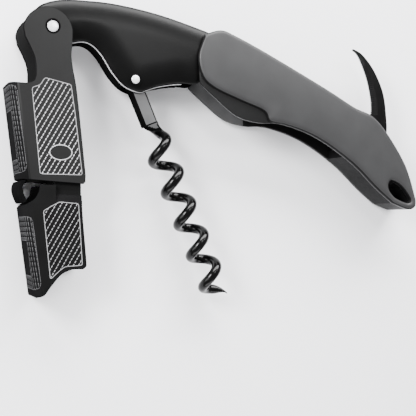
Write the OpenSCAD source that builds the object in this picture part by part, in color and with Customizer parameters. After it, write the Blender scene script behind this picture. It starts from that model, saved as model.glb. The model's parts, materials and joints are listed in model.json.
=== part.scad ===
// Lever corkscrew (waiter's friend) with a two-stage folding lever, a hinged
// five-turn worm and a serrated foil knife. It lies flat on its side:
// +X runs from the lever towards the tail, +Y is the handle's back, and every
// hinge axis stands along +Z. The outlines are written about the lever pin.

/* [Handle] */
// Thickness over the levers and the grip covers
overall_t = 14; // [13.6:0.1:15]
// Free width between the two liners
channel_w = 9.2; // [9.2:0.1:9.4]
// Thickness of each liner
liner_t = 0.9; // [0.8:0.1:1]
// Half thickness of the neck at its crown
neck_half_t = 5.1; // [4.8:0.1:5.2]
// Half thickness of the neck at its edges
neck_edge_half_t = 3.1; // [2.9:0.1:3.4]
// How far the covers stand inside the overall thickness
cover_inset = 0.1; // [0:0.05:0.2]

/* [Levers] */
// Thickness of the folded lever sheet
sheet_t = 1.2; // [1:0.1:1.2]
// Gap between the ends of the two lever stages
stage_gap = 0.4; // [0.3:0.1:0.6]
// Radius of the lever pin
lever_pin_r = 1.6; // [1.4:0.1:1.8]
// Radius of the pin between the two lever stages
stage_pin_r = 1; // [0.8:0.1:1.2]

/* [Worm] */
// Outside diameter of the worm
worm_d = 9; // [8.6:0.1:9]
// Diameter of the worm's wire
wire_d = 2.9; // [2.4:0.1:3]
// Advance of the worm in one turn
worm_pitch = 9.8; // [9.8:0.05:10.1]
// Number of turns
worm_turns = 5; // [4:1:5]
// Width of the rectangular shank, seen from the side
shank_w = 4; // [3.6:0.1:4.2]
// Thickness of the shank along its hinge
shank_t = 4.3; // [4:0.1:4.4]
// Radius of the worm's hinge pin
worm_pin_r = 1.2; // [1:0.1:1.3]

/* [Knife] */
// Thickness of the foil knife's blade
blade_t = 1.4; // [1:0.1:1.6]
// Radius of the knife's hinge pin
knife_pin_r = 1.1; // [0.9:0.1:1.3]

/* [Fits] */
// Radial clearance of every hinge
hinge_fit = 0.05; // [0.03:0.01:0.08]
// Side clearance between moving flat faces
side_fit = 0.2; // [0.15:0.05:0.3]

/* [Hidden] */
$fn = 48;
eps = 0.01;

half_t = overall_t / 2;
channel_half = channel_w / 2;
liner_out = channel_half + liner_t;
cover_out = half_t - cover_inset;
wall_in = half_t - sheet_t;

// Hinge axes, from the lever pin
worm_hinge = [23.4, -12.6];
knife_hinge = [102.8, -27.5];
stage_hinge = [3.3, -37.7];

// Extents of the whole object, from the lever pin
extent_x = [-11.5, 114.28];
extent_y = [-74.1, 8.65];

worm_lean = 67;
worm_offset = 0.5;
helix_r = (worm_d - wire_d) / 2;
helix_start = 18;
shank_len = 13.3;
helix_end = helix_start + worm_turns * worm_pitch;
channel_end_r = helix_end + 1.4;
slot_half = shank_t / 2 + side_fit;
ring_sides = 10;
steps_per_turn = 30;

// ---------------------------------------------------------------- curves

// Point on a smooth curve between b and c
function blend(a, b, c, d, t) =
    0.5 * ((2 * b) + (c - a) * t + (2 * a - 5 * b + 4 * c - d) * t * t
    + (3 * b - a - 3 * c + d) * t * t * t);

// Smooth open curve through the points p, with n steps between neighbours
function curve(p, n = 4) = [
    for (i = [0 : len(p) - 2])
        for (k = [0 : n - (i == len(p) - 2 ? 0 : 1)])
            blend(p[max(i - 1, 0)], p[i], p[i + 1], p[min(i + 2, len(p) - 1)], k / n)
];

// Arc about c from angle a to angle b
function arc(c, r, a, b, n = 10) =
    [for (k = [0 : n]) c + r * [cos(a + (b - a) * k / n), sin(a + (b - a) * k / n)]];

// The object's place: centred over the origin, lying on the floor
module place() {
    translate([-(extent_x[0] + extent_x[1]) / 2, -(extent_y[0] + extent_y[1]) / 2, half_t])
        children();
}

// A side outline given a thickness between two heights
module plate(z0, z1) {
    translate([0, 0, z0]) linear_extrude(z1 - z0) children();
}

module pin_at(p, r, z0, z1) {
    translate([p[0], p[1], z0]) cylinder(r = r, h = z1 - z0);
}

// ---------------------------------------------------------------- handle outlines

back_line = curve([
    [43.8, 1.4], [48.6, 2.9], [53.2, 1.6], [64.2, -3.2], [82.5, -12],
    [92.4, -17.2], [98.7, -19.6], [104.1, -24.9], [110.6, -34.6], [114.2, -44.8]
]);
tail_line = curve([[114.2, -44.8], [114, -47.2], [111.5, -48.1], [105.9, -46.2]]);
belly_line = curve([
    [105.9, -46.2], [100, -41.6], [91.3, -34], [79.6, -26.9], [68.1, -23.3],
    [60.6, -23.2], [53.6, -21.5], [46.7, -16.3], [42.5, -12.8]
]);
liner_front = [[42.3, -11.6], [42.1, -4.8]];
cutaway_line = curve([
    [68.1, -23.3], [63.9, -22.6], [62, -19.7], [54.3, -16.9], [46.5, -13.8], [42.9, -10.6],
    [41.7, -4.8], [43.8, 1.4]
]);

function above(points, x) = [for (p = points) if (p[0] >= x) p];

module handle_outline() {
    polygon(concat(back_line, tail_line, belly_line, liner_front));
}

module cover_outline() {
    polygon(concat(back_line, tail_line, above(belly_line, 68.2), cutaway_line));
}

// Finger hole through the tail
module tail_hole() {
    polygon(curve([
        [104.3, -40.4], [105.4, -39.3], [108.9, -41], [112, -44.9],
        [111, -46], [106.8, -44.5], [104.6, -42.2], [104.3, -40.4]
    ]));
}

module rivet_places() {
    for (p = [[46.5, -2.5], [60, -4.6], [71.5, -9.6], [101.2, -36.5]])
        translate(p) children();
}

module cover_stud_places() {
    for (p = [[52, -8], [79, -19.5], [98, -30]])
        translate(p) children();
}

// ---------------------------------------------------------------- handle parts

neck_top = curve([
    [-5.6, -0.5], [-4.9, 3.4], [-2.4, 6.4], [3, 8.2], [10.5, 8.6],
    [19, 8.3], [31, 6.5], [43.5, 3.3], [48.6, 1.6]
]);
neck_bottom = curve([
    [40.2, -9], [39.6, -12.6], [36.5, -13.1], [30.5, -14.2], [27.3, -15.3], [24.8, -16],
    [20.6, -14.5], [17.2, -11], [13.7, -5.8], [10.2, -3.2], [6, -3.6], [0.5, -6.1],
    [-4, -4.6], [-5.6, -0.5]
]);

module neck_outline() {
    polygon(concat(neck_top, [[58, -2.2], [58, -6.4], [47, -9]], neck_bottom));
}

// Space in the neck for the shank, open downwards and into the channel
module shank_slot_outline() {
    polygon([[20.6, -9.2], [20.6, -20], [46, -20], [46, -9.2]]);
}

module neck() {
    color("black") place() difference() {
        union() {
            plate(-neck_edge_half_t, neck_edge_half_t) neck_outline();
            intersection() {
                for (step = [[0.7, 0.35], [1.5, 0.7], [2.6, 1]])
                    plate(-neck_layer(step[1]), neck_layer(step[1]))
                        offset(delta = -step[0]) neck_outline();
                translate([-10, -20, -10]) cube([50.4, 40, 20]);
            }
            plate(-channel_half, channel_half) intersection() {
                neck_outline();
                translate([39, -8.9]) square([20, 20]);
            }
            pin_at(worm_hinge, 2.6, -neck_half_t, neck_half_t);
        }
        plate(-slot_half, slot_half) shank_slot_outline();
        plate(-20, 20) translate([38.8, -20]) square([10, 11]);
        pin_at([0, 0], lever_pin_r, -20, 20);
        pin_at(worm_hinge, worm_pin_r, -20, 20);
        translate([46.5, -2.5, -20]) cylinder(r = 1, h = 40);
    }
}

function neck_layer(k) = neck_edge_half_t + (neck_half_t - neck_edge_half_t) * k;

module liner(side) {
    z0 = side > 0 ? channel_half : -liner_out;
    difference() {
        plate(z0, z0 + liner_t) difference() {
            handle_outline();
            tail_hole();
        }
        translate([0, 0, -20]) rivet_places() cylinder(r = 1, h = 40);
        translate([0, 0, -20]) cover_stud_places() cylinder(r = 0.9, h = 40);
        pin_at(knife_hinge, knife_pin_r, -20, 20);
    }
}

module near_liner() {
    color("dimgray") place() liner(1);
}

module far_liner() {
    color("dimgray") place() liner(-1);
}

// Crowned grip cover: its face steps in towards a flat top
module cover(side) {
    skin = cover_out - liner_out;
    difference() {
        union() {
            for (step = [[0, 0.45], [0.5, 0.75], [1.3, 1]]) {
                top = liner_out + skin * step[1];
                plate(side > 0 ? liner_out : -top, side > 0 ? top : -liner_out)
                    offset(delta = -step[0]) cover_outline();
            }
        }
        plate(-20, 20) offset(delta = 0.3) tail_hole();
        cover_z = side > 0 ? liner_out - eps : -liner_out - 0.8;
        translate([0, 0, cover_z]) cover_stud_places() cylinder(r = 0.9, h = 0.8 + eps);
    }
}

module near_cover() {
    color("darkslategray") place() cover(1);
}

module far_cover() {
    color("darkslategray") place() cover(-1);
}

// Bar between the liners under the back, from the neck to the knife
module back_spacer() {
    color("black") place() difference() {
        plate(-channel_half, channel_half) intersection() {
            handle_outline();
            polygon([[58.2, 2], [58.2, -6.5], [66, -9.6], [74.3, -14], [74.3, -2]]);
        }
        translate([0, 0, -20]) rivet_places() cylinder(r = 1, h = 40);
    }
}

// Block between the liners with a slot that takes the closed blade
module knife_housing() {
    color("dimgray") place() difference() {
        plate(-channel_half, channel_half) intersection() {
            handle_outline();
            polygon([[74.5, 0], [74.5, -17.2], [90, -21], [96.6, -22.8], [98.2, -10]]);
        }
        plate(-blade_t / 2 - side_fit, blade_t / 2 + side_fit)
            polygon([[75.6, 5], [75.6, -30], [110, -40], [110, 5]]);
    }
}

// Leaf that closes the floor of the blade's slot and bears on its tang
module knife_spring() {
    color("silver") place()
        plate(-blade_t / 2, blade_t / 2)
            polygon([[75.8, -17.6], [75.8, -16.8], [86, -19.3], [92.6, -21.6], [92.4, -22.3], [86, -20.2]]);
}

// Block that joins the liners round the finger hole
module tail_block() {
    color("dimgray") place() difference() {
        plate(-channel_half, channel_half) intersection() {
            handle_outline();
            difference() {
                polygon([[86, -29], [95.5, -30.5], [102.8, -34], [109, -30], [125, -40], [125, -60], [80, -60]]);
                translate(worm_hinge) circle(r = channel_end_r, $fn = 180);
                translate(knife_hinge) circle(r = 7);
            }
        }
        plate(-20, 20) tail_hole();
        translate([0, 0, -20]) rivet_places() cylinder(r = 1, h = 40);
    }
}

module frame_rivets() {
    color("silver") place()
        translate([0, 0, -liner_out]) rivet_places() cylinder(r = 1, h = 2 * liner_out);
}

module cover_studs() {
    color("silver") place()
        for (z0 = [channel_half, -liner_out - 0.7])
            translate([0, 0, z0]) cover_stud_places() cylinder(r = 0.9, h = liner_t + 0.7);
}

// ---------------------------------------------------------------- hinge pins

module lever_pin() {
    color("white") place() pin_at([0, 0], lever_pin_r, -half_t + 0.05, half_t - 0.05);
}

// Thin washers between the neck and the lever's ears
module lever_washers() {
    washer_t = wall_in - neck_half_t - side_fit;
    color("black") place() difference() {
        for (z0 = [neck_half_t, -neck_half_t - washer_t])
            pin_at([0, 0], 3, z0, z0 + washer_t);
        pin_at([0, 0], lever_pin_r, -20, 20);
    }
}

module worm_pin() {
    color("white") place() pin_at(worm_hinge, worm_pin_r, -neck_half_t - 0.35, neck_half_t + 0.35);
}

// Raised rings round the ends of the worm pin
module worm_pin_collars() {
    color("black") place() difference() {
        for (z0 = [neck_half_t, -neck_half_t - 0.2])
            pin_at(worm_hinge, worm_pin_r + 0.35, z0, z0 + 0.2);
        pin_at(worm_hinge, worm_pin_r, -20, 20);
    }
}

module knife_pin() {
    color("silver") place() pin_at(knife_hinge, knife_pin_r, -liner_out, liner_out);
}

// ---------------------------------------------------------------- upper lever stage

upper_back = [[-8.3, -40.4], [-11.45, -15.4]];
ear_centre = [-1.2, -1.5];
ear_r = 6.6;

module upper_outline() {
    polygon(concat(
        upper_back,
        curve([[-6.8, -15.5], [-4.9, -14.7], [-4.4, -12.6], [-4.7, -9], [-5.9, -6], [-7.3, -3.3]]),
        arc(ear_centre, ear_r, 175, 5),
        curve([[5.3, -4.2], [5, -7.6], [5.5, -11.4], [6.6, -17.6], [9, -39.7]]),
        [[8.9, -41.4], [8.4, -41.9], [-5.6, -41], [-8.3, -40.8]]
    ));
}

// Everything to the right of a back web's inner face
module inside_of(web) {
    low = web[0];
    high = web[1];
    polygon([low + [sheet_t, -10], low + [sheet_t, 0], high + [sheet_t, 0], high + [sheet_t, 40],
        [40, 40], [40, low[1] - 10]]);
}

module upper_lever() {
    color([0.16, 0.16, 0.17]) place() difference() {
        plate(-half_t, half_t) upper_outline();
        plate(-wall_in, wall_in) union() {
            inside_of(upper_back);
            translate([-30, -15.2]) square([60, 40]);
        }
        pin_at([0, 0], lever_pin_r + hinge_fit, -20, 20);
        pin_at(stage_hinge, stage_pin_r, -20, 20);
        spring_rivet_places() cylinder(r = 0.8, h = 20, center = true);
    }
}

module stage_pin() {
    color("black") place() pin_at(stage_hinge, stage_pin_r, -half_t + 0.05, half_t - 0.05);
}

// Leaf spring from inside the upper web, arched out over the gap
module stage_spring() {
    color([0.1, 0.1, 0.1]) place() difference() {
        union() {
            plate(-wall_in + 0.1, wall_in - 0.1) polygon(concat(
                [[-7.05, -40.9], [-8.1, -31.2], [-7.5, -31.2], [-6.4, -40.6]],
                [[-6.6, -41.9], [-7.3, -41.9]]));
            plate(-half_t + 0.1, half_t - 0.1) polygon(concat(
                curve([[-8.2, -41.2], [-8.75, -42.8], [-8.5, -44.6], [-7.9, -46.2], [-7.4, -47.1]]),
                curve([[-6.8, -46.7], [-7.1, -45.7], [-7.6, -44.2], [-7.85, -42.8], [-7.3, -41.9], [-7, -41.2]])));
        }
        spring_rivet_places() cylinder(r = 0.8, h = 20, center = true);
    }
}

module spring_rivet_places() {
    for (z = [-3, 3]) translate([-8.3, -34.5, z]) rotate([0, 90, 7]) children();
}

module spring_rivets() {
    color("silver") place() intersection() {
        spring_rivet_places() cylinder(r = 0.8, h = 4, center = true);
        plate(-10, 10) polygon([[-8.95, -34], [-8.85, -36], [-6.7, -36], [-6.9, -33], [-9.05, -33]]);
    }
}

// ---------------------------------------------------------------- lower lever stage

lower_back = [[-4.35, -71.8], [-7.5, -48.6]];
tab_y = -41.9 - stage_gap;

module lower_outline() {
    polygon(concat(
        lower_back,
        curve([[-7.5, -48.2], [-6.3, -47.2], [-4.6, -46.1], [-3.6, -44.4], [-3.2, -42.6]]),
        [[-3.1, tab_y], [0.9, tab_y]],
        [[0.9, -44.7]],
        curve([[8.1, -45], [8, -47.7], [8.3, -52.1], [9.2, -62.4], [9.1, -64.1], [8.3, -64.8]]),
        curve([[5.4, -64.8], [2.6, -66], [-0.2, -69.1], [-2, -71.5], [-4, -72.2]])
    ));
}

// Inner ears that reach up between the upper stage's walls
module inner_ear_outline() {
    polygon(concat(
        arc(stage_hinge, 3.2, 180, 20),
        [[7.4, -39.8], [8, -42], [8, -47], [0.9, -47], [0.9, -43.5]]
    ));
}

module lower_lever() {
    ear_out = wall_in - side_fit;
    ear_in = ear_out - sheet_t;
    color([0.1, 0.1, 0.11]) place() difference() {
        union() {
            difference() {
                plate(-half_t, half_t) lower_outline();
                plate(-wall_in, wall_in) union() {
                    inside_of(lower_back);
                    translate([-30, -48.4]) square([60, 40]);
                }
            }
            for (z0 = [ear_in, -ear_out])
                plate(z0, z0 + sheet_t) inner_ear_outline();
            for (z0 = [ear_in, -wall_in - 0.1])
                plate(z0, z0 + sheet_t + side_fit + 0.1) intersection() {
                    inner_ear_outline();
                    lower_outline();
                }
        }
        pin_at(stage_hinge, stage_pin_r + hinge_fit, -20, 20);
    }
}

// Thin washers on the stage pin, inside the lower stage's ears
module stage_washers() {
    ear_in = wall_in - side_fit - sheet_t;
    color("silver") place() difference() {
        for (z0 = [ear_in - 0.5, -ear_in])
            pin_at(stage_hinge, 2.2, z0, z0 + 0.5);
        pin_at(stage_hinge, stage_pin_r + hinge_fit, -20, 20);
    }
}

// ---------------------------------------------------------------- worm

// Turns a shape drawn along +X from the worm hinge to the worm's open position
module along_worm() {
    translate([worm_hinge[0], worm_hinge[1], 0]) rotate([0, 0, -worm_lean]) children();
}

module shank_outline() {
    circle(r = 2.4);
    polygon([[0, -1.5], [4, worm_offset - shank_w / 2], [shank_len, worm_offset - shank_w / 2],
        [shank_len, worm_offset + shank_w / 2], [2, worm_offset + shank_w / 2], [0, 2.4]]);
}

module worm_shank() {
    color("gray") place() along_worm() difference() {
        plate(-shank_t / 2, shank_t / 2) shank_outline();
        translate([0, 0, -20]) cylinder(r = worm_pin_r + hinge_fit, h = 40);
        translate([shank_len - 5, worm_offset, 0]) rotate([0, 90, 0]) cylinder(r = wire_d / 2, h = 20);
        translate([shank_len - 3, worm_offset, -20]) cylinder(r = 0.5, h = 40);
    }
}

// Small cross pin that locks the wire in the shank
module shank_pin() {
    color("gray") place() along_worm()
        translate([shank_len - 3, worm_offset, -shank_t / 2]) cylinder(r = 0.5, h = shank_t);
}

function ease(t) = t <= 0 ? 0 : t >= 1 ? 1 : t * t * (3 - 2 * t);

// Centre line of the wire at distance s from the worm hinge: it swings out to one
// side of the shank and then coils
function wire_angle(s) = 360 * (s - helix_start) / worm_pitch;
function wire_swing(s, start) = ease((s - start) / (helix_start - start));
function wire_side(s) =
    s < helix_start ? 0.12 + 0.88 * wire_swing(s, shank_len) : cos(wire_angle(s));
function wire_depth(s) = wire_swing(s, shank_len + 1.5) * sin(wire_angle(s));
function wire_point(s) = [s, worm_offset + helix_r * wire_side(s), helix_r * wire_depth(s)];
function wire_radius(s) = wire_d / 2 * (0.12 + 0.88 * ease((helix_end - s) / (0.25 * worm_pitch)));

module worm_helix() {
    count = ceil((helix_end - shank_len) / worm_pitch * steps_per_turn);
    first = shank_len + 0.7;
    stations = [for (k = [0 : count]) first + (helix_end - first) * k / count];
    rings = [
        for (s = stations)
            let (p = wire_point(s), q = wire_point(s + 0.02), d = (q - p) / norm(q - p),
                u0 = [0, cos(wire_angle(s)), sin(wire_angle(s))],
                u1 = u0 - (u0 * d) * d, u = u1 / norm(u1), v = cross(d, u))
            [for (k = [0 : ring_sides - 1])
                p + wire_radius(s) * (cos(360 * k / ring_sides) * u + sin(360 * k / ring_sides) * v)]
    ];
    rows = len(rings);
    color("black") place() along_worm() {
        polyhedron(
            points = [for (ring = rings) each ring],
            faces = concat(
                [[for (k = [0 : ring_sides - 1]) k]],
                [for (i = [0 : rows - 2]) for (k = [0 : ring_sides - 1])
                    let (a = i * ring_sides, b = a + ring_sides, m = (k + 1) % ring_sides)
                    each [[a + k, b + k, b + m], [a + k, b + m, a + m]]],
                [[for (k = [ring_sides - 1 : -1 : 0]) (rows - 1) * ring_sides + k]]
            )
        );
        difference() {
            translate([shank_len - 5, worm_offset, 0]) rotate([0, 90, 0]) cylinder(r = wire_d / 2, h = 6);
            translate([shank_len - 3, worm_offset, -20]) cylinder(r = 0.5, h = 40);
        }
    }
}

// ---------------------------------------------------------------- foil knife

module blade_outline() {
    polygon(concat(
        curve([[4.4, 3.2], [4.4, 7.8], [3.3, 15.8], [0.1, 22.7], [-4.1, 27.6], [-7.5, 29.3]]),
        curve([[-5.6, 26.5], [-2.9, 20.3], [-1.4, 13.6], [-1.4, 9], [-2.6, 4.4], [-3.3, 0.8]]),
        arc([0, 0], 3.4, 180, 380, 16)
    ));
}

module knife_blade() {
    color("black") place() translate([knife_hinge[0], knife_hinge[1], 0]) difference() {
        plate(-blade_t / 2, blade_t / 2) blade_outline();
        translate([0, 0, -20]) cylinder(r = knife_pin_r + hinge_fit, h = 40);
    }
}

// Spacing washers that centre the blade between the liners
module knife_washers() {
    reach = blade_t / 2 + 0.1;
    color("silver") place() difference() {
        for (z0 = [reach, -channel_half + 0.05])
            pin_at(knife_hinge, 2.6, z0, z0 + channel_half - reach - 0.05);
        pin_at(knife_hinge, knife_pin_r, -20, 20);
    }
}

neck();
near_liner();
far_liner();
near_cover();
far_cover();
back_spacer();
knife_housing();
knife_spring();
tail_block();
frame_rivets();
cover_studs();
lever_pin();
lever_washers();
worm_pin();
worm_pin_collars();
knife_pin();
upper_lever();
stage_pin();
stage_spring();
spring_rivets();
lower_lever();
stage_washers();
worm_shank();
worm_helix();
shank_pin();
knife_blade();
knife_washers();
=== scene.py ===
import json
import math

import bmesh
import bpy
import numpy as np
from mathutils import Matrix, Vector, geometry


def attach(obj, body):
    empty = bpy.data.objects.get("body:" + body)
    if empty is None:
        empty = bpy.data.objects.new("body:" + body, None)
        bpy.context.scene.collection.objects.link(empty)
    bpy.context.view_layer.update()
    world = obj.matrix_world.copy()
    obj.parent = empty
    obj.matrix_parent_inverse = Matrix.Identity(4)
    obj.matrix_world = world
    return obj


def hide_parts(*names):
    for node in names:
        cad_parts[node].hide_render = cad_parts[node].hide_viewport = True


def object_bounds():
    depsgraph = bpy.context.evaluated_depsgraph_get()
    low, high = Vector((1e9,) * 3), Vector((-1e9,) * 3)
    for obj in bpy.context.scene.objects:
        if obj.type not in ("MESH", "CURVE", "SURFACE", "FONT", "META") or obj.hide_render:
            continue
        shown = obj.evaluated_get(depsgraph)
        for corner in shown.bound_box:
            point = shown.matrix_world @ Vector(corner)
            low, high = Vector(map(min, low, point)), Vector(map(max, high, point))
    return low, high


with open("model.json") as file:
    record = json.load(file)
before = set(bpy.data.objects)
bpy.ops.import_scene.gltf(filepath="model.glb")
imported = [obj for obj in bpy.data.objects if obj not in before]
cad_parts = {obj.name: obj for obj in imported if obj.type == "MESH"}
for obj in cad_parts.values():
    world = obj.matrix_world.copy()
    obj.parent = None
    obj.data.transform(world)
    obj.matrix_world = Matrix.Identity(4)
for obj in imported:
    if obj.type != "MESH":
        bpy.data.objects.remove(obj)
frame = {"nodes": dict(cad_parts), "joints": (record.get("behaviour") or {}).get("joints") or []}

# Lever corkscrew lying on its side. Outlines are in millimetres about the
# lever pin, in the plane half way through the tool's thickness.
CAD_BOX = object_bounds()
MM = 0.001
HINGES = {j["name"]: Vector(j["pos_m"]) for j in frame["joints"]}
PIN = HINGES["lever_hinge"]


def hinge(name):
    """A hinge axis's place in millimetres from the lever pin."""
    at = (HINGES[name] - PIN) / MM
    return np.array([at.x, at.y])


WORM_HINGE = hinge("worm_hinge")
KNIFE_HINGE = hinge("knife_hinge")
STAGE_HINGE = hinge("stage_hinge")

HALF_T = 6.97          # half thickness over the levers
SHEET = 1.2            # lever sheet
BEND = 2.5             # outside radius of the levers' folds
LINER = (4.6, 5.5)     # inner and outer faces of a liner
NECK_SLOT = 2.35       # half width of the neck's slot for the shank
WORM_ROOM = 3.6        # half width of the hollow for the wire
LINER_SPLIT = 60       # where a liner's lighter inner face ends, along the handle: bare steel, partly painted light
TOOTH_PITCH = 0.6      # knife
TOOTH_DEPTH = 0.45


# ------------------------------------------------------------------ materials

def new_material(name, roughness, metallic=0.0, specular=0.5):
    mat = bpy.data.materials.new(name)
    mat.use_nodes = True
    bsdf = mat.node_tree.nodes["Principled BSDF"]
    bsdf.inputs["Roughness"].default_value = roughness
    bsdf.inputs["Metallic"].default_value = metallic
    bsdf.inputs["Specular IOR Level"].default_value = specular
    return mat, bsdf


def noise(tree, scale, detail=3.0, stretch=(1.0, 1.0, 1.0)):
    """A noise field fixed to the piece, with its features per metre."""
    place = tree.nodes.new("ShaderNodeTexCoord")
    mapping = tree.nodes.new("ShaderNodeMapping")
    mapping.inputs["Scale"].default_value = stretch
    field = tree.nodes.new("ShaderNodeTexNoise")
    field.inputs["Scale"].default_value = scale
    field.inputs["Detail"].default_value = detail
    tree.links.new(place.outputs["Object"], mapping.inputs["Vector"])
    tree.links.new(mapping.outputs["Vector"], field.inputs["Vector"])
    return field.outputs["Fac"]


def vary_colour(mat, bsdf, fac, dark, light):
    tree = mat.node_tree
    ramp = tree.nodes.new("ShaderNodeValToRGB")
    ramp.color_ramp.elements[0].position = 0.3
    ramp.color_ramp.elements[1].position = 0.7
    ramp.color_ramp.elements[0].color = (*dark, 1.0)
    ramp.color_ramp.elements[1].color = (*light, 1.0)
    tree.links.new(fac, ramp.inputs["Fac"])
    tree.links.new(ramp.outputs["Color"], bsdf.inputs["Base Color"])


def vary_roughness(mat, bsdf, fac, low, high):
    tree = mat.node_tree
    span = tree.nodes.new("ShaderNodeMapRange")
    span.inputs["From Min"].default_value = 0.3
    span.inputs["From Max"].default_value = 0.7
    span.inputs["To Min"].default_value = low
    span.inputs["To Max"].default_value = high
    tree.links.new(fac, span.inputs["Value"])
    tree.links.new(span.outputs["Result"], bsdf.inputs["Roughness"])


def add_bump(mat, bsdf, fac, depth):
    tree = mat.node_tree
    bump = tree.nodes.new("ShaderNodeBump")
    bump.inputs["Strength"].default_value = 1.0
    bump.inputs["Distance"].default_value = depth
    tree.links.new(fac, bump.inputs["Height"])
    tree.links.new(bump.outputs["Normal"], bsdf.inputs["Normal"])


def finish_material(name, dark, light, rough, metallic=0.0, specular=0.5,
                    grain=2600.0, stretch=(1.0, 1.0, 1.0), bump=0.0, cloud=160.0):
    """A worn finish: slow clouds in the colour, fine grain in the gloss and the surface."""
    mat, bsdf = new_material(name, rough[0], metallic, specular)
    vary_colour(mat, bsdf, noise(mat.node_tree, cloud, 4.0), grey(dark), grey(light))
    fine = noise(mat.node_tree, grain, 2.0, stretch)
    vary_roughness(mat, bsdf, fine, *rough)
    if bump:
        add_bump(mat, bsdf, fine, bump)
    return mat


def grey(v):
    return (v, v, v * 1.03)


GLOSS_BLACK = finish_material("gloss_black", 0.0015, 0.0025, (0.31, 0.325), specular=0.10, cloud=90.0,
                              grain=900.0)
# Black with its reflection turned off. On the neck's rims and cut walls, the shank's sides and the ring round
# the lever pin it is painted shade; the spring and the worm pin's collars wear it as their black.
SIDE_BLACK = finish_material("side_black", 0.002, 0.004, (0.4, 0.5), specular=0.0)
# Painted shade: a much darker copy of the gunmetal for the covers' steep edges, drawn as a dark outline.
COVER_EDGE_SHADE = finish_material("cover_edge_shade", 0.004, 0.006, (0.45, 0.5), specular=0.05)
GUNMETAL = finish_material("satin_gunmetal", 0.024, 0.028, (0.38, 0.44), specular=0.2,
                           grain=5200.0, bump=0.000004)
DARK_STEEL = finish_material("dark_steel", 0.004, 0.007, (0.40, 0.5), specular=0.03,
                             grain=1500.0, stretch=(0.15, 1.0, 1.0), bump=0.000004)
LINER_BLACK = finish_material("liner_black", 0.004, 0.006, (0.30, 0.36), specular=0.15)
# Lighter grey for a liner's inner face near the neck: partly its bare steel, partly painted light where the
# far liner's inner face is lit.
LINER_INNER_LIT = finish_material("liner_inner_bare_lit", 0.05, 0.08, (0.35, 0.45), metallic=0.15,
                              grain=1500.0, stretch=(0.15, 1.0, 1.0), bump=0.000004)
SPRING_STEEL = finish_material("spring_steel", 0.20, 0.28, (0.28, 0.38), metallic=0.7,
                               grain=2500.0, stretch=(0.2, 1.0, 1.0), bump=0.000003)
CHROME = finish_material("pin_chrome", 0.80, 0.90, (0.22, 0.30), metallic=0.35)
# Light grey for the neck's lower rim: partly a bare edge, partly a painted highlight along that edge.
RIM_HIGHLIGHT_GREY = finish_material("bare_rim_and_highlight", 0.42, 0.52, (0.25, 0.32), metallic=0.3)
LEVER_BLACK = finish_material("lever_black", 0.0032, 0.0042, (0.42, 0.50), specular=0.2,
                              grain=6000.0, bump=0.000004)
# Painted shade: a darker copy of the lever black for the lower stage, which sits farther from the light.
LEVER_SHADED = finish_material("lever_shaded_black", 0.0018, 0.0028, (0.40, 0.48), specular=0.1,
                             grain=6000.0, bump=0.000004)
# Lever black with its reflection turned off, for the webs and edges: painted shade.
LEVER_SIDE = finish_material("lever_side_black", 0.0045, 0.006, (0.45, 0.52), specular=0.0,
                             grain=6000.0, bump=0.000004)
ETCH = finish_material("etched_line", 0.38, 0.48, (0.45, 0.6), grain=9000.0)
# Dimmer etched line: the upper border's fainter line and, on the lower stage, painted shade.
ETCH_LOW = finish_material("etched_line_low", 0.20, 0.27, (0.45, 0.6), grain=9000.0)
# Painted shade: a dark copy of the etched line, with no reflection, for the lines on the webs.
ETCH_SHADED = finish_material("etched_line_shaded", 0.04, 0.06, (0.45, 0.6), specular=0.0, grain=9000.0)
SHANK_STEEL = finish_material("shank_steel", 0.06, 0.085, (0.28, 0.40), metallic=0.3,
                              grain=1800.0, stretch=(1.0, 0.2, 1.0), bump=0.000004)
WORM_BLACK = finish_material("worm_black", 0.0012, 0.002, (0.12, 0.15), specular=0.16, grain=900.0)
KNIFE_BLACK = finish_material("knife_black", 0.002, 0.0035, (0.30, 0.40), specular=0.08,
                              grain=2000.0, stretch=(1.0, 0.25, 1.0), bump=0.000004)
FLOOR = finish_material("pale_floor", 0.93, 0.95, (0.6, 0.7), specular=0.2, cloud=3.0, grain=300.0)

CAD_FINISH = {
    "back_spacer": GLOSS_BLACK, "knife_housing": DARK_STEEL, "knife_spring": SPRING_STEEL,
    "tail_block": DARK_STEEL, "frame_rivets": SPRING_STEEL, "cover_studs": SPRING_STEEL,
    "lever_washers": SPRING_STEEL, "knife_pin": CHROME, "knife_washers": SPRING_STEEL,
    "stage_pin": GLOSS_BLACK, "spring_rivets": SPRING_STEEL, "stage_washers": SPRING_STEEL,
}


# ------------------------------------------------------------------ outlines

def curve(points, steps=6):
    """Smooth open curve through the points."""
    p = [np.array(q, float) for q in points]
    out = []
    for i in range(len(p) - 1):
        a, b, c, d = p[max(i - 1, 0)], p[i], p[i + 1], p[min(i + 2, len(p) - 1)]
        for k in range(steps + (i == len(p) - 2)):
            t = k / steps
            out.append(0.5 * (2 * b + (c - a) * t + (2 * a - 5 * b + 4 * c - d) * t * t
                              + (3 * b - a - 3 * c + d) * t ** 3))
    return out


def arc(centre, radius, start, end, steps=16):
    """Points round a centre, from one angle in degrees to another."""
    angles = np.radians(np.linspace(start, end, steps + 1))
    return [np.array(centre) + radius * np.array([math.cos(a), math.sin(a)]) for a in angles]


def even(loop, gap):
    """The closed loop with its points no more than a gap apart and none bunched up."""
    out = []
    count = len(loop)
    for i in range(count):
        a, b = np.array(loop[i], float), np.array(loop[(i + 1) % count], float)
        if out and np.linalg.norm(a - out[-1]) < 0.25 * gap:
            continue
        steps = max(1, math.ceil(np.linalg.norm(b - a) / gap))
        out.extend(a + (b - a) * k / steps for k in range(steps))
    if np.linalg.norm(out[0] - out[-1]) < 0.25 * gap:
        out.pop()
    return np.array(out)


def area(loop):
    x, y = loop[:, 0], loop[:, 1]
    return 0.5 * float(np.sum(x * np.roll(y, -1) - np.roll(x, -1) * y))


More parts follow.
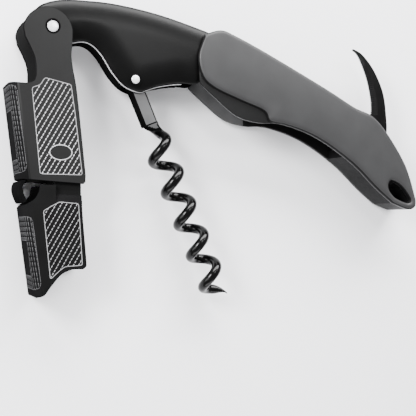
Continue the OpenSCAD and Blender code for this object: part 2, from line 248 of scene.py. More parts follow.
def inside(loop, pts):
    """Which points lie inside a closed loop."""
    found = np.zeros(len(pts), bool)
    x, y = pts[:, 0], pts[:, 1]
    for (x0, y0), (x1, y1) in zip(loop, np.roll(loop, -1, axis=0)):
        crosses = (y0 > y) != (y1 > y)
        with np.errstate(divide="ignore", invalid="ignore"):
            at = x0 + (y - y0) * (x1 - x0) / (y1 - y0)
        found ^= crosses & (x < at)
    return found


def edge_distance(loops, pts):
    """Distance from each point to the nearest side of any loop."""
    best = np.full(len(pts), 1e9)
    for loop in loops:
        for a, b in zip(loop, np.roll(loop, -1, axis=0)):
            ab = b - a
            t = np.clip((pts - a) @ ab / max(ab @ ab, 1e-12), 0, 1)
            best = np.minimum(best, np.linalg.norm(pts - a - t[:, None] * ab, axis=1))
    return best


BACK = curve([(43.8, 1.4), (48.6, 2.9), (53.2, 1.6), (64.2, -3.2), (82.5, -12), (92.4, -17.2),
              (98.7, -19.6), (104.1, -24.9), (110.6, -34.6), (114.2, -44.8)])
TAIL = curve([(114.2, -44.8), (114, -47.2), (111.5, -48.1), (105.9, -46.2)])
BELLY = curve([(105.9, -46.2), (100, -41.6), (91.3, -34), (79.6, -26.9), (68.1, -23.3),
               (60.6, -23.2), (53.6, -21.5), (46.7, -16.3), (42.6, -12.8)])
CUTAWAY = curve([(68.1, -23.3), (63.9, -22.6), (62, -19.7), (54.3, -16.9), (46.5, -13.8),
                 (42.9, -10.6), (41.7, -4.8), (43.8, 1.4)])
TAIL_HOLE = curve([(104.3, -40.4), (105.4, -39.3), (108.9, -41), (112, -44.9), (111, -46),
                   (106.8, -44.5), (104.6, -42.2), (104.3, -40.4)])[:-1]
HANDLE = BACK + TAIL[1:] + BELLY[1:] + [np.array((42.3, -11.6)), np.array((42.2, -4.8))]
COVER = BACK + TAIL[1:] + [p for p in BELLY[1:] if p[0] > 68.2] + CUTAWAY[:-1]
NECK = (curve([(-5.6, -0.5), (-4.9, 3.4), (-2.4, 6.4), (3, 8.2), (10.5, 8.6), (19, 8.3),
               (31, 6.5), (43.5, 3.3), (48.6, 1.6)])
        + [np.array((50.0, -2.0)), np.array((47.0, -9.0))]
        + curve([(44.4, -11.2), (41.6, -13.1), (36.5, -13.1), (30.5, -14.2), (27.3, -15.3),
                 (24.8, -16), (20.6, -14.5), (17.2, -11), (13.7, -5.8), (10.2, -3.2), (6, -3.6),
                 (0.5, -6.1), (-4, -4.6), (-5.6, -0.5)])[:-1])


# ------------------------------------------------------------------ mesh tools

def to_frame(verts):
    """Millimetres about the lever pin to metres in the frame."""
    return [PIN + Vector((float(x), float(y), float(z))) * MM for x, y, z in verts]


def show(name, mesh, body, replaced=(), sharp=35.0, flat=True):
    """Puts a mesh whose points are already in the frame into the scene."""
    piece = bpy.data.objects.new(name, mesh)
    bpy.context.scene.collection.objects.link(piece)
    mesh.set_sharp_from_angle(angle=math.radians(sharp))
    for poly in mesh.polygons:
        poly.use_smooth = not (flat and (abs(poly.normal.z) > 0.9995 or len(poly.vertices) > 4))
    mesh.update()
    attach(piece, body)
    if replaced:
        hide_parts(*replaced)
    return piece


def build_mesh(name, verts, faces, *materials, choose=None):
    """Closed mesh in the frame; choose gives a face its material number."""
    mesh = bpy.data.meshes.new(name)
    mesh.from_pydata(to_frame(verts), [], [list(map(int, f)) for f in faces])
    bm = bmesh.new()
    bm.from_mesh(mesh)
    bmesh.ops.recalc_face_normals(bm, faces=bm.faces)
    bm.to_mesh(mesh)
    bm.free()
    for mat in materials:
        mesh.materials.append(mat)
    if choose:
        for poly, face in zip(mesh.polygons, faces):
            poly.material_index = choose(face)
    return mesh


def crowned_net(loop, holes, rings, gap):
    """Triangles over an outline, with rows of points along its edges."""
    loops = [even(loop, gap)] + [even(h, gap * 0.6) for h in holes]
    loops[0] = loops[0] if area(loops[0]) > 0 else loops[0][::-1]
    loops[1:] = [h if area(h) < 0 else h[::-1] for h in loops[1:]]
    points, edges = [], []
    for pts in loops:
        base = len(points)
        points.extend(pts)
        edges.extend((base + i, base + (i + 1) % len(pts)) for i in range(len(pts)))
    inner = []
    for pts in loops:
        side = np.roll(pts, -1, axis=0) - np.roll(pts, 1, axis=0)
        side /= np.linalg.norm(side, axis=1)[:, None]
        normal = np.column_stack([-side[:, 1], side[:, 0]])
        for depth in rings:
            moved = pts + normal * depth
            inner.append(moved[edge_distance(loops, moved) > 0.93 * depth])
    low, high = loops[0].min(axis=0), loops[0].max(axis=0)
    xs = np.arange(low[0], high[0], gap)
    ys = np.arange(low[1], high[1], gap * 0.87)
    field = np.array([(x + (j % 2) * gap / 2, y) for j, y in enumerate(ys) for x in xs])
    inner.append(field[edge_distance(loops, field) > rings[-1] + 0.5 * gap])
    extra = np.concatenate(inner)
    keep = inside(loops[0], extra)
    for h in loops[1:]:
        keep &= ~inside(h, extra)
    points.extend(extra[keep])
    done = geometry.delaunay_2d_cdt([Vector(p) for p in points], edges, [], 0, 1e-5)
    verts = np.array([(v.x, v.y) for v in done[0]])
    faces = [f for f in done[2] if len(f) == 3]
    middle = np.array([verts[list(f)].mean(axis=0) for f in faces])
    good = inside(loops[0], middle)
    for h in loops[1:]:
        good &= ~inside(h, middle)
    faces = [f for f, g in zip(faces, good) if g]
    return verts, faces, edge_distance(loops, verts)


def rim(faces):
    """The directed sides that only one face has."""
    sides = {}
    for f in faces:
        for a, b in zip(f, list(f[1:]) + [f[0]]):
            sides[(a, b)] = True
    return [(a, b) for a, b in sides if (b, a) not in sides]


def crowned(loop, holes, top, bottom, rings, gap):
    """Solid over an outline, whose top and bottom heights follow the edge distance."""
    flat, faces, depth = crowned_net(loop, holes, rings, gap)
    count = len(flat)
    verts = [(x, y, top(d)) for (x, y), d in zip(flat, depth)]
    verts += [(x, y, bottom(d)) for (x, y), d in zip(flat, depth)]
    walls = [(a, a + count, b + count, b) for a, b in rim(faces)]
    under = [tuple(i + count for i in reversed(f)) for f in faces]
    return verts, [tuple(f) for f in faces] + under + walls


def plate(name, loops, z0, z1, bevel, material):
    """A flat piece with rounded edges, from an outline and its holes."""
    data = bpy.data.curves.new(name, "CURVE")
    data.dimensions = "2D"
    data.fill_mode = "BOTH"
    data.extrude = (z1 - z0) / 2 - bevel
    data.bevel_depth = bevel
    data.bevel_resolution = 2
    data.offset = -bevel
    for loop in loops:
        spline = data.splines.new("POLY")
        spline.points.add(len(loop) - 1)
        for point, (x, y) in zip(spline.points, loop):
            point.co = (x, y, 0, 1)
        spline.use_cyclic_u = True
    mesh = converted(data, name)
    bm = bmesh.new()
    bm.from_mesh(mesh)
    bmesh.ops.remove_doubles(bm, verts=bm.verts, dist=1e-4)
    bmesh.ops.recalc_face_normals(bm, faces=bm.faces)
    bm.to_mesh(mesh)
    bm.free()
    mesh.transform(Matrix.Translation((0, 0, (z0 + z1) / 2)))
    mesh.transform(Matrix.Translation(PIN) @ Matrix.Scale(MM, 4))
    mesh.materials.clear()
    mesh.materials.append(material)
    return mesh


def converted(data, name):
    """The evaluated mesh of some object data, with nothing left in the scene."""
    temp = data if isinstance(data, bpy.types.Object) else bpy.data.objects.new(name, data)
    if temp.name not in bpy.context.scene.collection.objects:
        bpy.context.scene.collection.objects.link(temp)
    bpy.context.view_layer.update()
    mesh = bpy.data.meshes.new_from_object(temp.evaluated_get(bpy.context.evaluated_depsgraph_get()))
    bpy.data.objects.remove(temp)
    return mesh


def joined(name, *meshes):
    """One mesh that holds several."""
    bm = bmesh.new()
    for m in meshes:
        bm.from_mesh(m)
    out = bpy.data.meshes.new(name)
    bm.to_mesh(out)
    bm.free()
    for mat in meshes[0].materials:
        out.materials.append(mat)
    return out


def prism(loop, z0, z1):
    """Straight solid over an outline."""
    count = len(loop)
    verts = [(x, y, z0) for x, y in loop] + [(x, y, z1) for x, y in loop]
    walls = [(i, (i + 1) % count, count + (i + 1) % count, count + i) for i in range(count)]
    faces = [tuple(range(count))[::-1], tuple(range(count, 2 * count))] + walls
    return build_mesh("prism", verts, faces)


def combine(base, tools, bevel=0.0):
    """Applies boolean tools, given as (operation, mesh), and rounds the edges that result."""
    target = bpy.data.objects.new("combine", base)
    bpy.context.scene.collection.objects.link(target)
    helpers = []
    for operation, mesh in tools:
        helper = bpy.data.objects.new("tool", mesh)
        bpy.context.scene.collection.objects.link(helper)
        helpers.append(helper)
        modifier = target.modifiers.new("cut", "BOOLEAN")
        modifier.operation = operation
        modifier.solver = "EXACT"
        modifier.object = helper
    if bevel:
        weld = target.modifiers.new("weld", "WELD")
        weld.merge_threshold = 0.00001
        rounding = target.modifiers.new("round", "BEVEL")
        rounding.width = bevel * MM
        rounding.segments = 2
        rounding.limit_method = "ANGLE"
        rounding.angle_limit = math.radians(50)
    mesh = converted(target, "combined")
    for helper in helpers:
        bpy.data.objects.remove(helper)
    return mesh


def lathe(name, profile, centre, material, around=48):
    """Solid of revolution about a hinge axis; the profile is (radius, height) pairs."""
    verts, faces = [], []
    for r, z in profile:
        for k in range(around):
            a = 2 * math.pi * k / around
            verts.append((centre[0] + r * math.cos(a), centre[1] + r * math.sin(a), z))
    for i in range(len(profile) - 1):
        for k in range(around):
            m = (k + 1) % around
            a, b = i * around, (i + 1) * around
            faces.append((a + k, a + m, b + m, b + k))
    faces.append(tuple(range(around))[::-1])
    last = (len(profile) - 1) * around
    faces.append(tuple(range(last, last + around)))
    return build_mesh(name, verts, faces, material)


def ring_mesh(name, centre, inner, outer, spans, material, around=48):
    """Flat rings round a hinge axis, one for each pair of heights."""
    verts, faces = [], []
    for z0, z1 in spans:
        base = len(verts)
        for r, z in ((inner, z0), (outer, z0), (outer, z1), (inner, z1)):
            for k in range(around):
                a = 2 * math.pi * k / around
                verts.append((centre[0] + r * math.cos(a), centre[1] + r * math.sin(a), z))
        for i in range(4):
            a, b = base + i * around, base + (i + 1) % 4 * around
            faces.extend((a + k, a + (k + 1) % around, b + (k + 1) % around, b + k)
                         for k in range(around))
    return build_mesh(name, verts, faces, material)


# ------------------------------------------------------------------ neck

def quarter_round(t):
    t = min(max(t, 0.0), 1.0)
    return math.sqrt(1 - (1 - t) ** 2)


def neck_height(d):
    return 2.85 + 0.3 * quarter_round(d / 0.5) + 1.92 * quarter_round(d / 7.5) ** 1.2


def make_neck():
    verts, faces = crowned(NECK, [], neck_height, lambda d: -neck_height(d), (0.15, 0.38, 0.8, 1.3, 1.9), 0.8)
    rim_top = neck_height(0.16)
    edge_top = neck_height(0.39)

    # The rims and sides take the black with no reflection, as painted shade; the lower rim takes the light
    # grey, partly a painted highlight.
    def finish_of(face):
        heights = [verts[i][2] for i in face]
        if min(heights) < 0 < max(heights):
            return 1
        if max(abs(z) for z in heights) > edge_top:
            return 0
        lower = np.mean([verts[i][1] for i in face]) < 1 and np.mean([verts[i][0] for i in face]) > 2
        return 2 if lower and max(abs(z) for z in heights) < rim_top else 1

    mesh = build_mesh("neck", verts, faces, GLOSS_BLACK, SIDE_BLACK, RIM_HIGHLIGHT_GREY, choose=finish_of)
    slot = prism([(20.6, -9.2), (20.6, -20), (60, -20), (60, -9.2)], -NECK_SLOT, NECK_SLOT)
    worm_room = prism([(37.5, -20), (60, -20), (60, -11.0), (37.5, -11.0)], -WORM_ROOM, WORM_ROOM)
    # The cut walls take the black with no reflection: painted shade inside the slots.
    for tool in (slot, worm_room):
        for mat in (GLOSS_BLACK, SIDE_BLACK):
            tool.materials.append(mat)
        for poly in tool.polygons:
            poly.material_index = 1
    mesh = combine(mesh, [("DIFFERENCE", slot), ("DIFFERENCE", worm_room)])
    show("neck_casting", mesh, "handle", ["neck"], sharp=40, flat=False)


# ------------------------------------------------------------------ handle

def cover_height(d):
    return 5.75 + 0.62 * quarter_round(d / 1.1) + 0.56 * quarter_round(d / 9.0) ** 1.3


def make_covers():
    for side, node in ((1, "near_cover"), (-1, "far_cover")):
        verts, faces = crowned(COVER, [TAIL_HOLE], lambda d: side * cover_height(d),
                               lambda d: side * LINER[1], (0.12, 0.3, 0.6, 1.0, 1.6), 0.85)
        # Steep faces along the edges take the dark copy: painted shade as an outline.
        edge_top = cover_height(0.31)
        mesh = build_mesh(node + "_skin", verts, faces, GUNMETAL, COVER_EDGE_SHADE,
                          choose=lambda f: int(max(abs(verts[i][2]) for i in f) < edge_top))
        show(node + "_skin", mesh, "handle", [node], sharp=50, flat=False)


def split_at(mesh, x):
    """Adds an edge loop where the mesh crosses a plane across the handle."""
    bm = bmesh.new()
    bm.from_mesh(mesh)
    bmesh.ops.bisect_plane(bm, geom=bm.verts[:] + bm.edges[:] + bm.faces[:], dist=1e-7,
                           plane_co=(x, 0, 0), plane_no=(1, 0, 0))
    bm.to_mesh(mesh)
    bm.free()


def make_liners():
    for side, node in ((1, "near_liner"), (-1, "far_liner")):
        low, high = sorted(side * z for z in LINER)
        mesh = plate(node + "_plate", [HANDLE, TAIL_HOLE], low, high, 0.14, LINER_BLACK)
        mesh.materials.append(LINER_INNER_LIT)
        split_at(mesh, PIN.x + LINER_SPLIT * MM)
        # The inner faces short of the split take the lighter grey: partly painted light.
        for poly in mesh.polygons:
            if poly.normal.z * side < -0.9 and poly.center.x < PIN.x + LINER_SPLIT * MM:
                poly.material_index = 1
        show(node + "_plate", mesh, "handle", [node])


# ------------------------------------------------------------------ pins

def domed(radius, edge, crown, steps=6):
    """Profile of a pin with a shallow dome on each end."""
    dome = []
    for k in range(steps + 1):
        t = k / steps
        dome.append((max(radius * math.cos(t * math.pi / 2), 0.01),
                     edge + (crown - edge) * math.sin(t * math.pi / 2)))
    return [(r, -z) for r, z in reversed(dome)] + dome


def make_pins():
    pin = lathe("lever_pin_steel", domed(1.55, 6.72, 6.97), (0, 0), CHROME)
    show("lever_pin_steel", pin, "handle", ["lever_pin"])
    # A black ring round the lever pin's head stands for the shade in the recess round it: painted shade.
    spans = [(6.80, HALF_T + 0.015), (-HALF_T - 0.015, -6.80)]
    painted_shade_ring = ring_mesh("lever_pin_shade_ring", (0, 0), 1.56, 2.05, spans, SIDE_BLACK)
    show("lever_pin_shade_ring", painted_shade_ring, "handle")
    pin = lathe("worm_pin_steel", domed(1.18, 5.1, 5.44), WORM_HINGE, CHROME)
    show("worm_pin_steel", pin, "handle", ["worm_pin"])
    collar = ring_mesh("worm_pin_ring", WORM_HINGE, 1.19, 1.6, [(4.4, 5.22), (-5.22, -4.4)], SIDE_BLACK)
    show("worm_pin_ring", collar, "handle", ["worm_pin_collars"])


# ------------------------------------------------------------------ levers

UPPER_BACK = (np.array((-8.3, -40.4)), np.array((-11.45, -15.4)))
LOWER_BACK = (np.array((-4.35, -71.8)), np.array((-7.5, -48.6)))
UPPER = (list(UPPER_BACK)
         + curve([(-6.8, -15.5), (-4.9, -14.7), (-4.4, -12.6), (-4.7, -9), (-5.9, -6), (-7.3, -3.3)])
         + arc((-1.2, -1.5), 6.6, 175, 5, 30)
         + curve([(5.3, -4.2), (5, -7.6), (5.5, -11.4), (6.6, -17.6), (9, -39.7)])
         + [(8.9, -41.4), (8.4, -41.9), (-5.6, -41), (-8.3, -40.8)])
LOWER = (list(LOWER_BACK)
         + curve([(-7.5, -48.2), (-6.3, -47.2), (-4.6, -46.1), (-3.6, -44.4), (-3.2, -42.6)])
         + [(-3.1, -42.3), (0.9, -42.3), (0.9, -44.7)]
         + curve([(8.1, -45), (8, -47.7), (8.3, -52.1), (9.2, -62.4), (9.1, -64.1), (8.3, -64.8)])
         + curve([(5.4, -64.8), (2.6, -66), (-0.2, -69.1), (-2, -71.5), (-4, -72.2)]))


def fold_section():
    """Half the channel's section, as (distance from the web, height)."""
    outer = [(30.0, HALF_T)] + [tuple(p) for p in arc((BEND, HALF_T - BEND), BEND, 90, 180, 8)]
    inner = [tuple(p) for p in arc((BEND, HALF_T - BEND), BEND - SHEET, 180, 90, 4)]
    inner.append((30.0, HALF_T - SHEET))
    far = [(x, -z) for x, z in outer[::-1]]
    far_inner = [(x, -z) for x, z in inner[::-1]]
    return outer + far + far_inner + inner


def channel(back):
    """A folded channel whose web lies along the back line, longer than the lever."""
    along = (back[1] - back[0]) / np.linalg.norm(back[1] - back[0])
    across = np.array([along[1], -along[0]])
    section = fold_section()
    verts = []
    for reach in (-20.0, np.linalg.norm(back[1] - back[0]) + 40.0):
        for x, z in section:
            verts.append((*(back[0] + along * reach + across * x), z))
    count = len(section)
    walls = [(i, (i + 1) % count, count + (i + 1) % count, count + i) for i in range(count)]
    return build_mesh("channel", verts, [tuple(range(count)), tuple(range(count, 2 * count))] + walls)


def two_tone(mesh, face, side):
    """One finish for the walls of a lever and one, with no reflection, for its web and edges: painted shade.
    """
    mesh.materials.clear()
    mesh.materials.append(face)
    mesh.materials.append(side)
    for poly in mesh.polygons:
        poly.material_index = int(abs(poly.normal.z) < 0.97)


def make_upper():
    bore = prism(arc((0, 0), 1.65, 0, 360, 40)[:-1], -9, 9)
    mesh = combine(channel(UPPER_BACK), [("INTERSECT", prism(UPPER, -9, 9)), ("DIFFERENCE", bore)], 0.14)
    two_tone(mesh, LEVER_BLACK, LEVER_SIDE)
    show("upper_stage_sheet", mesh, "upper_stage", ["upper_lever"])


def bar(profile, x0, x1):
    """Solid with an outline in height against y, from one x to another."""
    count = len(profile)
    verts = [(x, y, z) for x in (x0, x1) for y, z in profile]
    walls = [(i, (i + 1) % count, count + (i + 1) % count, count + i) for i in range(count)]
    return build_mesh("bar", verts, [tuple(range(count)), tuple(range(count, 2 * count))] + walls)


def make_lower():
    slope = [(-44.0, 5.5), (-44.7, 5.85), (-45.6, 6.35), (-47.2, 7.02), (-47.2, 8), (-43, 8), (-43, 5.5)]
    dents = [bar([(y, side * z) for y, z in slope], 0.95, 12) for side in (1, -1)]
    mesh = combine(channel(LOWER_BACK), [("INTERSECT", prism(LOWER, -9, 9))]
                   + [("DIFFERENCE", dent) for dent in dents], 0.14)
    # The lower stage takes the darker lever black: painted shade.
    two_tone(mesh, LEVER_SHADED, LEVER_SIDE)
    ear = arc(STAGE_HINGE, 3.2, 180, 20, 20) + [(7.4, -39.8), (8, -42), (8, -47), (0.9, -47), (0.9, -43.5)]
    hole = arc(STAGE_HINGE, 1.05, 0, 360, 24)[:-1]
    ears = [plate("ear", [ear, hole], *span, 0.1, LEVER_SHADED) for span in ((4.4, 5.6), (-5.6, -4.4))]
    show("lower_stage_sheet", joined("lower_stage_sheet", mesh, *ears), "lower_stage",
         ["lower_lever"])


# ------------------------------------------------------------------ etched fields

def clipped(loop, origin, direction):
    """The stretches of a straight line that lie inside a loop."""
    normal = np.array([-direction[1], direction[0]])
    cuts = []
    for a, b in zip(loop, np.roll(loop, -1, axis=0)):
        da, db = (a - origin) @ normal, (b - origin) @ normal
        if (da > 0) != (db > 0):
            cuts.append(((a + (b - a) * da / (da - db)) - origin) @ direction)
    cuts.sort()
    return [(origin + direction * s, origin + direction * e) for s, e in zip(cuts[::2], cuts[1::2])]


def hatch(loop, pitch, degrees, blank=None):
    """Parallel lines across a field, left out where the blank field is."""
    loop = np.array(loop, float)
    direction = np.array([math.cos(math.radians(degrees)), math.sin(math.radians(degrees))])
    normal = np.array([-direction[1], direction[0]])
    reach = loop @ normal
    lines = []
    for offset in np.arange(reach.min() + pitch * 0.6, reach.max(), pitch):
        for a, b in clipped(loop, normal * offset, direction):
            holes = clipped(blank, normal * offset, direction) if blank is not None else []
            start = a
            for s, e in holes:
                lines.append((start, s))
                start = e
            lines.append((start, b))
    return [(a, b) for a, b in lines if np.linalg.norm(b - a) > 0.5 and (b - a) @ direction > 0]


def dashed(lines, dash=0.62, gap=0.32):
    """Cuts each line into dashes of the same length."""
    out = []
    for a, b in lines:
        length = np.linalg.norm(b - a)
        step = (b - a) / length
        for s in np.arange(0, length - 0.3, dash + gap):
            out.append((a + step * s, a + step * min(s + dash, length)))
    return out


def outline_lines(loop):
    """The sides of a closed loop."""
    loop = [np.array(p, float) for p in loop]
    return list(zip(loop, loop[1:] + loop[:1]))


def strips(lines, width, lay):
    """A low ridge along each line; lay turns (u, v, lift) into a place on the lever."""
    verts, faces = [], []
    for a, b in lines:
        span = (b - a) / max(np.linalg.norm(b - a), 1e-9)
        side = np.array([-span[1], span[0]]) * width / 2
        base = len(verts)
        for lift in (-0.05, 0.02):
            verts.extend(lay(*p, lift) for p in (a - side, a + side, b + side, b - side))
        faces.extend([(base, base + 1, base + 2, base + 3), (base + 7, base + 6, base + 5, base + 4)])
        faces.extend((base + k, base + (k + 1) % 4, base + 4 + (k + 1) % 4, base + 4 + k) for k in range(4))
    return verts, faces


def on_wall(side):
    return lambda u, v, lift: (u, v, side * (HALF_T + lift))


def on_web(back):
    """Place on a web and its folds: u round the section from the middle, v down from the top."""
    along = (back[0] - back[1]) / np.linalg.norm(back[0] - back[1])
    into = np.array([-along[1], along[0]])
    flat = HALF_T - BEND

    def place(u, v, lift):
        turn = max(abs(u) - flat, 0) / BEND
        across = BEND - (BEND + lift) * math.cos(turn)
        height = min(abs(u), flat) + (BEND + lift) * math.sin(turn)
        return (*(back[1] + along * v + into * across), math.copysign(height, u))

    return place


def rounded(loop, radius=0.5):
    """A closed loop with its corners cut by short curves."""
    loop = [np.array(p, float) for p in loop]
    out = []
    for i, p in enumerate(loop):
        a, b = loop[i - 1], loop[(i + 1) % len(loop)]
        ra = min(radius, 0.4 * np.linalg.norm(a - p))
        rb = min(radius, 0.4 * np.linalg.norm(b - p))
        start, end = p + (a - p) / np.linalg.norm(a - p) * ra, p + (b - p) / np.linalg.norm(b - p) * rb
        out.extend([start, (start + 2 * p + end) / 4, end])
    return out


UPPER_FIELD = rounded([(-5.5, -16.7), (-3.3, -15.9), (-2.1, -13.9), (4.9, -15.4), (6.0, -23),
                       (8.0, -39.5), (-3.3, -39.4)])
LOWER_FIELD = rounded([(-0.4, -48.0), (1.9, -46.8), (7.0, -47.2), (7.4, -53), (8.1, -63.7), (3.4, -64.0),
                       (1.8, -65.2), (-0.5, -67.3), (-2.4, -49.2)])


def oval(centre, across, tall, steps=28):
    return np.array([(centre[0] + across * math.cos(a), centre[1] + tall * math.sin(a))
                     for a in np.linspace(0, 2 * math.pi, steps, endpoint=False)])


def etch(name, lines, width, lays, material, body):
    verts, faces = [], []
    for lay in lays:
        more, shapes = strips(lines, width, lay)
        faces.extend(tuple(i + len(verts) for i in f) for f in shapes)
        verts.extend(more)
    show(name, build_mesh(name, verts, faces, material), body)


def make_etching():
    walls = [on_wall(1), on_wall(-1)]
    badge = oval((2.2, -33.6), 3.0, 2.0)
    lines = dashed(hatch(UPPER_FIELD, 1.22, 60, badge)) + outline_lines(badge)
    etch("upper_hatch", lines, 0.19, walls, ETCH, "upper_stage")
    etch("upper_border", outline_lines(UPPER_FIELD), 0.15, walls, ETCH_LOW, "upper_stage")
    # The lower stage's lines take the dimmer copy: painted shade, as on its walls.
    etch("lower_hatch", dashed(hatch(LOWER_FIELD, 1.22, 60)), 0.18, walls, ETCH_LOW, "lower_stage")
    etch("lower_border", outline_lines(LOWER_FIELD), 0.15, walls, ETCH_LOW, "lower_stage")
    # The web lines take the shaded copy of the etched line: painted shade.
    for name, back, top, foot, body in (("upper_web_etch", UPPER_BACK, 0.9, 1.3, "upper_stage"),
                                        ("lower_web_etch", LOWER_BACK, 2.2, 1.8, "lower_stage")):
        length = np.linalg.norm(back[1] - back[0])
        field = rounded([(-7.7, top), (7.7, top), (7.7, length - foot), (-7.7, length - foot)], 1.6)
        plain = rounded([(-4.4, top + 6.3), (4.4, top + 6.3), (4.4, length - foot - 3.5),
                         (-4.4, length - foot - 3.5)], 0.3)
        borders = dashed(outline_lines(field) + outline_lines(plain), 0.5, 0.0)
        lines = dashed(hatch(field, 0.78, 88, np.array(plain)), 1.1, 0.25)
        etch(name, lines + borders, 0.2, [on_web(back)], ETCH_SHADED, body)


# ------------------------------------------------------------------ stage spring

def make_spring():
    arch = (curve([(-8.2, -41.2), (-8.75, -42.8), (-8.5, -44.6), (-7.9, -46.2), (-7.4, -47.1)])
            + curve([(-6.8, -46.7), (-7.1, -45.7), (-7.6, -44.2), (-7.85, -42.8), (-7.3, -41.9),
                     (-7, -41.2)]))
    tongue = [(-7.05, -40.9), (-8.1, -31.2), (-7.5, -31.2), (-6.4, -40.6), (-6.6, -41.9), (-7.3, -41.9)]
    parts = [plate("arch", [arch], -6.85, 6.85, 0.12, SIDE_BLACK),
             plate("tongue", [tongue], -5.6, 5.6, 0.1, SIDE_BLACK)]
    show("stage_spring_leaf", joined("stage_spring_leaf", *parts), "upper_stage",
         ["stage_spring"])


# ------------------------------------------------------------------ worm

LEAN = math.radians(-67)   # direction of the open worm
WORM_OFFSET = 0.5          # from the hinge's line to the coil's axis
WIRE_R = 1.45
HELIX_R = 3.05             # radius of the wire's middle line
PITCH = 9.8
TURNS = 5
HELIX_START = 18.0         # distances along the worm from its hinge
SHANK_END = 13.3


def along_worm(s, n, z):
    """From distances along and across the worm to the handle's plane."""
    c, k = math.cos(LEAN), math.sin(LEAN)
    return (WORM_HINGE[0] + s * c - n * k, WORM_HINGE[1] + s * k + n * c, z)


def ease(t):
    t = min(max(t, 0.0), 1.0)
    return t * t * (3 - 2 * t)


def wire_centre(s):
    """The wire swings out to one side of the shank and then coils."""
    swing = ease((s - SHANK_END) / (HELIX_START - SHANK_END))
    depth = ease((s - SHANK_END - 1.5) / (HELIX_START - SHANK_END - 1.5))
    turn = 2 * math.pi * (s - HELIX_START) / PITCH
    side = 0.12 + 0.88 * swing if s < HELIX_START else math.cos(turn)
    return np.array([s, WORM_OFFSET + HELIX_R * side, HELIX_R * depth * math.sin(turn)])


def tube(stations, centre, radius, around=20):
    """Rings of points along a path, kept from twisting."""
    verts, faces = [], []
    up = np.array([0.0, 0.0, 1.0])
    for s in stations:
        p = centre(s)
        d = centre(s + 0.01) - p
        d /= np.linalg.norm(d)
        up = up - (up @ d) * d
        up /= np.linalg.norm(up)
        side = np.cross(d, up)
        for k in range(around):
            a = 2 * math.pi * k / around
            verts.append(p + radius(s) * (math.cos(a) * up + math.sin(a) * side))
    for i in range(len(stations) - 1):
        for k in range(around):
            m = (k + 1) % around
            a, b = i * around, (i + 1) * around
            faces.append((a + k, a + m, b + m, b + k))
    last = (len(stations) - 1) * around
    faces += [tuple(range(around))[::-1], tuple(range(last, last + around))]
    return verts, faces


def make_worm():
    end = HELIX_START + TURNS * PITCH
    stations = np.linspace(SHANK_END - 2, end, int((end - SHANK_END) / PITCH * 64))

    def radius(s):
        return WIRE_R * (0.1 + 0.9 * ease((end - s) / (0.25 * PITCH)))

    verts, faces = tube(stations, wire_centre, radius)
    verts = [along_worm(*v) for v in verts]
    show("worm_wire", build_mesh("worm_wire", verts, faces, WORM_BLACK), "worm",
         ["worm_helix"], sharp=80)


def superellipse(power, across, thick, around=32):
    """Closed section between a circle (power 2) and a rounded rectangle (power 10)."""
    out = []
    for k in range(around):
        a = 2 * math.pi * (k + 0.5) / around
        c, s = math.cos(a), math.sin(a)
        r = (abs(c) ** power + abs(s) ** power) ** (-1 / power)
        out.append((across * r * c, thick * r * s))
    return out


def make_shank():
    near, far = WORM_OFFSET + 2, WORM_OFFSET - 2
    loop = ([(SHANK_END, far), (SHANK_END, near), (1.6, near), (0.6, 2.35)]
            + [tuple(p) for p in arc((0, 0), 2.4, 95, 250, 16)] + [(2.6, far)])
    turned = [along_worm(s, n, 0)[:2] for s, n in loop]
    eye = arc(WORM_HINGE, 1.25, 0, 360, 28)[:-1]
    block = plate("block", [turned, eye], -2.15, 2.15, 0.45, SHANK_STEEL)
    verts, faces, rows = [], [], 12
    for i in range(rows + 1):
        t = i / rows
        half = WIRE_R + (1.85 - WIRE_R) * (1 - ease(t))
        section = superellipse(2 + 8 * (1 - t) ** 2, half, half + 0.1 * (1 - t))
        s = SHANK_END - 0.3 + 3.0 * t
        middle = wire_centre(s)
        verts.extend(along_worm(s, middle[1] + n, middle[2] + z) for n, z in section)
    around = len(section)
    for i in range(rows):
        for k in range(around):
            m = (k + 1) % around
            faces.append((i * around + k, i * around + m, (i + 1) * around + m, (i + 1) * around + k))
    faces += [tuple(range(around))[::-1], tuple(range(rows * around, (rows + 1) * around))]
    taper = build_mesh("taper", verts, faces, SHANK_STEEL)
    mesh = joined("shank_block", block, taper)
    # The block's and taper's sides take the black with no reflection: painted shade on the steel shank.
    mesh.materials.append(SIDE_BLACK)
    for poly in mesh.polygons:
        if abs(poly.normal.z) < 0.97:
            poly.material_index = 1
    show("shank_block", mesh, "worm", ["worm_shank"], sharp=40)
    at = along_worm(SHANK_END - 3, WORM_OFFSET, 0)[:2]
    show("shank_lock_pin", lathe("shank_lock_pin", domed(0.48, 2.1, 2.17), at, SHANK_STEEL), "worm",
         ["shank_pin"])


# ------------------------------------------------------------------ knife

def spaced(line, count):
    """The same line as evenly spaced points."""
    line = np.array(line)
    run = np.concatenate([[0], np.cumsum(np.linalg.norm(np.diff(line, axis=0), axis=1))])
    at = np.linspace(0, run[-1], count)
    return np.column_stack([np.interp(at, run, line[:, i]) for i in (0, 1)])


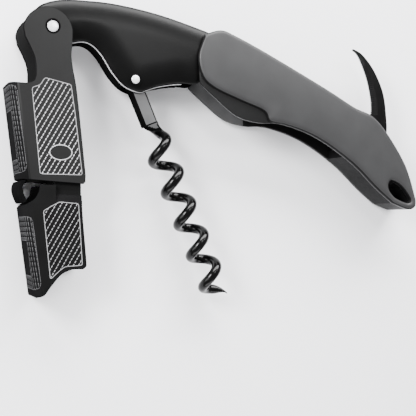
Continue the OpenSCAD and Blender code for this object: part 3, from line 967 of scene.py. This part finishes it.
def make_knife():
    spine = curve([(3.0, -1.6), (4.4, 3.2), (4.4, 7.8), (3.3, 15.8), (0.1, 22.7), (-4.1, 27.6),
                   (-7.5, 29.3)], 24)
    edge = curve([(-3.4, -0.2), (-2.6, 4.4), (-1.4, 9), (-1.4, 13.6), (-2.9, 20.3), (-5.6, 26.5),
                  (-7.4, 29.0)], 24)
    count = 420
    spine, edge = spaced(spine, count), spaced(edge, count)
    verts, faces = [], []
    run = 0.0
    for i in range(count):
        if i:
            run += np.linalg.norm(edge[i] - edge[i - 1])
        across = spine[i] - edge[i]
        across /= max(np.linalg.norm(across), 1e-9)
        toothed = 9.0 < edge[i][1] < 28.6
        bite = TOOTH_DEPTH * (1 - abs((run / TOOTH_PITCH) % 1 * 2 - 1)) if toothed else 0.0
        cutting = edge[i] + across * bite
        bevel = edge[i] + (spine[i] - edge[i]) * (0.42 if toothed else 0.3)
        thin = 0.08 if toothed else 0.5
        row = [(cutting, thin), (bevel, 0.62), (spine[i] - across * 0.15, 0.62), (spine[i], 0.45)]
        for p, z in row:
            verts.append((*(p + KNIFE_HINGE), z))
        for p, z in reversed(row):
            verts.append((*(p + KNIFE_HINGE), -z))
    width = 8
    for i in range(count - 1):
        for k in range(width):
            m = (k + 1) % width
            faces.append((i * width + k, i * width + m, (i + 1) * width + m, (i + 1) * width + k))
    faces += [tuple(range(width))[::-1], tuple(range((count - 1) * width, count * width))]
    blade = build_mesh("blade", verts, faces, KNIFE_BLACK)
    disc = arc(KNIFE_HINGE, 3.4, 0, 360, 36)[:-1]
    hole = arc(KNIFE_HINGE, 1.15, 0, 360, 24)[:-1]
    tang = plate("tang", [disc, hole], -0.69, 0.69, 0.1, KNIFE_BLACK)
    show("foil_knife", joined("foil_knife", blade, tang), "knife", ["knife_blade"])


# ------------------------------------------------------------------ assembly

def dress_cad():
    """Gives each CAD node that stays its finish."""
    for node, finish in CAD_FINISH.items():
        mesh = frame["nodes"][node].data
        mesh.materials.clear()
        mesh.materials.append(finish)


def make_studio():
    """Pale floor, soft lights, and the camera a little to the lever's side of square."""
    lo, hi = CAD_BOX
    middle = (lo + hi) / 2
    floor = bpy.data.meshes.new("floor")
    size = 3.0
    corners = [(-size, -size, 0), (size, -size, 0), (size, size, 0), (-size, size, 0)]
    floor.from_pydata(corners, [], [(0, 1, 2, 3)])
    floor.materials.append(FLOOR)
    ground = bpy.data.objects.new("floor", floor)
    ground.location.z = lo.z - 0.0002
    bpy.context.scene.collection.objects.link(ground)

    world = bpy.data.worlds.new("studio")
    world.use_nodes = True
    sky = world.node_tree.nodes["Background"]
    sky.inputs["Color"].default_value = (1.0, 1.0, 1.0, 1.0)
    sky.inputs["Strength"].default_value = 0.6
    bpy.context.scene.world = world

    def softbox(name, at, size_x, size_y, watts):
        light = bpy.data.lights.new(name, "AREA")
        light.shape = "RECTANGLE"
        light.size, light.size_y = size_x, size_y
        light.energy = watts
        lamp = bpy.data.objects.new(name, light)
        lamp.location = middle + Vector(at)
        lamp.rotation_euler = (middle - lamp.location).to_track_quat("-Z", "Y").to_euler()
        bpy.context.scene.collection.objects.link(lamp)

    softbox("key_box", (0.03, 0.105, 0.22), 0.07, 0.06, 0.22)
    softbox("cover_box", (0.12, 0.097, 0.17), 0.03, 0.03, 0.10)
    softbox("worm_box", (-0.26, 0.13, 0.2), 0.12, 0.12, 2.6)
    softbox("back_box", (0.1, 0.6, 0.28), 0.9, 0.3, 24.0)
    softbox("left_box", (-0.6, 0.02, 0.22), 0.3, 0.7, 5.0)
    softbox("front_box", (0.1, -0.6, 0.2), 0.7, 0.25, 3.5)

    distance, turn, tip = 0.26, math.radians(21.3), math.radians(1.03)
    target = PIN + Vector((46.9, -48.0, 0)) * MM
    away = Vector((-math.sin(turn) * math.cos(tip), -math.sin(tip), math.cos(turn) * math.cos(tip)))
    camera = bpy.data.cameras.new("camera")
    camera.sensor_width = 36.0
    camera.lens = 77.3
    camera.clip_start = 0.01
    eye = bpy.data.objects.new("camera", camera)
    eye.location = target + away * distance
    right = Vector((0, 1, 0)).cross(away).normalized()
    up = away.cross(right)
    eye.rotation_euler = Matrix((right, up, away)).transposed().to_euler()
    bpy.context.scene.collection.objects.link(eye)
    bpy.context.scene.camera = eye


make_studio()
dress_cad()
make_neck()
make_covers()
make_liners()
make_pins()
make_upper()
make_lower()
make_etching()
make_spring()
make_worm()
make_shank()
make_knife()
